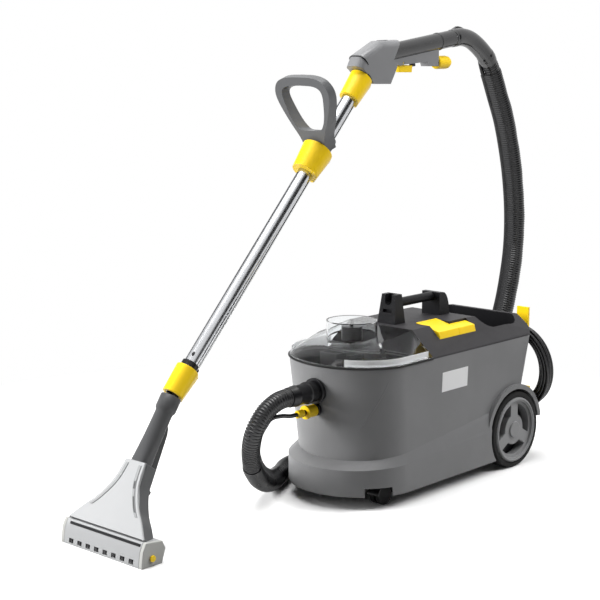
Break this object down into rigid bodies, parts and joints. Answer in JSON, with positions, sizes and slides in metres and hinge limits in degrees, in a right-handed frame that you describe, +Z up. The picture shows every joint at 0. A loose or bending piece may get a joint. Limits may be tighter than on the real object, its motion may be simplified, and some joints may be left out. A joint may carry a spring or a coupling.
{
  "type": "spot extractor",
  "caption": "Wheeled spray extraction cleaner with removable tank under a clear lid, carry handle, suction hose, wand with D handle and wide clear floor nozzle.",
  "frame": {"origin": "on the floor, under the middle of the machine, wand and nozzle without hoses and cord", "axes": "+Z up, +Y from the nozzle to the rear of the machine, +X to the side of the switches"},
  "size_m": [0.4179, 1.5019, 1.0852],
  "materials": {
    "body_grey": "fine moulded grain, satin",
    "cover_charcoal": "fine moulded grain, matt",
    "black_plastic": "matt moulded plastic",
    "yellow_plastic": "smooth satin yellow",
    "clear_plastic": "clear polished plastic",
    "tank_grey": "smooth dark tank plastic",
    "seal_rubber": "soft matt rubber",
    "tyre_rubber": "matt rubber",
    "hub_grey": "fine moulded grain",
    "handle_grey": "satin grey plastic",
    "tube_chrome": "polished",
    "plain_steel": "turned steel",
    "hose_black": "satin black",
    "cord_black": "satin black cable jacket",
    "motor_paint": "painted metal",
    "fan_aluminium": "pressed aluminium"
  },
  "bodies": {
    "machine": {"base_pan": "body_grey", "body_shell": "body_grey", "top_cover": "cover_charcoal", "fresh_tank": "tank_grey", "carry_handle": "black_plastic", "handle_screws": "plain_steel", "switch_box": "black_plastic", "rear_axle": "plain_steel", "suction_port": "black_plastic", "hose_cuff": "black_plastic", "spray_socket": "black_plastic", "coupling_tail": "yellow_plastic", "suction_hose": "hose_black", "spray_hose": "hose_black", "hose_sleeve": "hose_black", "bend_cuff": "hose_black", "lower_hook": "yellow_plastic", "cord_gland": "black_plastic", "cord_lead": "cord_black", "cord_hank": "cord_black", "cord_tail": "cord_black", "mains_plug": "black_plastic", "suction_motor": "motor_paint", "water_pump": "motor_paint", "suction_tube": "tube_chrome", "spray_pipe": "tube_chrome", "elbow": "handle_grey", "grip_tube": "black_plastic", "valve_housing": "handle_grey", "nozzle_neck": "hub_grey", "nozzle_hood": "clear_plastic", "nozzle_ends": "hub_grey", "end_knobs": "yellow_plastic", "spray_jet": "black_plastic"},
    "dirty_tank": {"dirty_tank": "tank_grey", "inlet_elbow": "black_plastic", "lint_filter": "tank_grey"},
    "lid": {"tank_lid": "clear_plastic", "lid_seal": "seal_rubber", "float_guide": "black_plastic"},
    "float": {"float_cup": "black_plastic"},
    "suction_switch": {"suction_switch": "yellow_plastic"},
    "spray_switch": {"spray_switch": "yellow_plastic"},
    "left_wheel": {"wheel_hub_left": "hub_grey", "wheel_tyre_left": "tyre_rubber"},
    "right_wheel": {"wheel_hub_right": "hub_grey", "wheel_tyre_right": "tyre_rubber"},
    "left_caster": {"caster_fork_left": "black_plastic"},
    "right_caster": {"caster_fork_right": "black_plastic"},
    "left_caster_wheels": {"caster_wheels_left": "black_plastic"},
    "right_caster_wheels": {"caster_wheels_right": "black_plastic"},
    "coupling_collar": {"coupling_collar": "yellow_plastic"},
    "upper_hook": {"upper_hook": "yellow_plastic"},
    "fan_rotor": {"fan_rotor": "fan_aluminium"},
    "lower_sleeve": {"lower_sleeve": "yellow_plastic"},
    "upper_sleeve": {"upper_sleeve": "yellow_plastic"},
    "d_handle": {"d_handle": "handle_grey"},
    "clamp_sleeve": {"clamp_sleeve": "yellow_plastic"},
    "trigger": {"trigger": "yellow_plastic"},
    "flow_knob": {"flow_knob": "yellow_plastic"}
  },
  "joints": [
    {"name": "tank_lift", "type": "slide", "parent": "machine", "child": "dirty_tank", "axis": [0, 0, 1], "range_m": [0, 0.2]},
    {"name": "lid_lift", "type": "slide", "parent": "dirty_tank", "child": "lid", "axis": [0, 0, 1], "range_m": [0, 0.06]},
    {"name": "float_rise", "type": "slide", "parent": "lid", "child": "float", "axis": [0, 0, 1], "range_m": [0, 0.01]},
    {"name": "suction_press", "type": "slide", "parent": "machine", "child": "suction_switch", "axis": [0, 0, -1], "range_m": [0, 0.003], "stiffness_N_per_m": 800, "springref_m": -0.003},
    {"name": "spray_press", "type": "slide", "parent": "machine", "child": "spray_switch", "axis": [0, 0, -1], "range_m": [0, 0.003], "stiffness_N_per_m": 800, "springref_m": -0.003},
    {"name": "left_wheel_spin", "type": "hinge", "parent": "machine", "child": "left_wheel", "pos_m": [0.03225, 0.48294, 0.095], "axis": [1, 0, 0], "continuous": true},
    {"name": "right_wheel_spin", "type": "hinge", "parent": "machine", "child": "right_wheel", "pos_m": [0.03225, 0.48294, 0.095], "axis": [1, 0, 0], "continuous": true},
    {"name": "left_caster_swivel", "type": "hinge", "parent": "machine", "child": "left_caster", "pos_m": [-0.07375, 0.01394, 0.0855], "axis": [0, 0, 1], "continuous": true},
    {"name": "right_caster_swivel", "type": "hinge", "parent": "machine", "child": "right_caster", "pos_m": [0.13825, 0.01394, 0.0855], "axis": [0, 0, 1], "continuous": true},
    {"name": "left_caster_spin", "type": "hinge", "parent": "left_caster", "child": "left_caster_wheels", "pos_m": [-0.07375, 0.02394, 0.0225], "axis": [1, 0, 0], "continuous": true},
    {"name": "right_caster_spin", "type": "hinge", "parent": "right_caster", "child": "right_caster_wheels", "pos_m": [0.13825, 0.02394, 0.0225], "axis": [1, 0, 0], "continuous": true},
    {"name": "collar_release", "type": "slide", "parent": "machine", "child": "coupling_collar", "axis": [0, -1, 0], "range_m": [0, 0.005], "stiffness_N_per_m": 600, "springref_m": -0.002},
    {"name": "hook_turn", "type": "hinge", "parent": "machine", "child": "upper_hook", "pos_m": [0.11425, 0.61894, 0.297], "axis": [0, 1, 0], "range_deg": [0, 180]},
    {"name": "fan_spin", "type": "hinge", "parent": "machine", "child": "fan_rotor", "pos_m": [0.03225, 0.23094, 0.29], "axis": [0, 0, 1], "continuous": true},
    {"name": "lower_sleeve_slide", "type": "slide", "parent": "machine", "child": "lower_sleeve", "axis": [0, 0.6833, 0.7302], "range_m": [0, 0.01]},
    {"name": "upper_sleeve_slide", "type": "slide", "parent": "machine", "child": "upper_sleeve", "axis": [0, -0.6833, -0.7302], "range_m": [0, 0.01]},
    {"name": "d_handle_slide", "type": "slide", "parent": "machine", "child": "d_handle", "axis": [0, 0.6833, 0.7302], "range_m": [-0.25, 0.08]},
    {"name": "clamp_slide", "type": "slide", "parent": "d_handle", "child": "clamp_sleeve", "axis": [0, -0.6833, -0.7302], "range_m": [0, 0.01]},
    {"name": "trigger_squeeze", "type": "hinge", "parent": "machine", "child": "trigger", "pos_m": [-0.06275, 0.32896, 0.99395], "axis": [1, 0, 0], "range_deg": [0, 5], "stiffness_Nm_per_rad": 0.6, "springref_deg": -11.46},
    {"name": "knob_turn", "type": "hinge", "parent": "machine", "child": "flow_knob", "pos_m": [-0.06275, 0.46796, 0.99395], "axis": [0, 1, 0], "range_deg": [0, 90]}
  ]
}
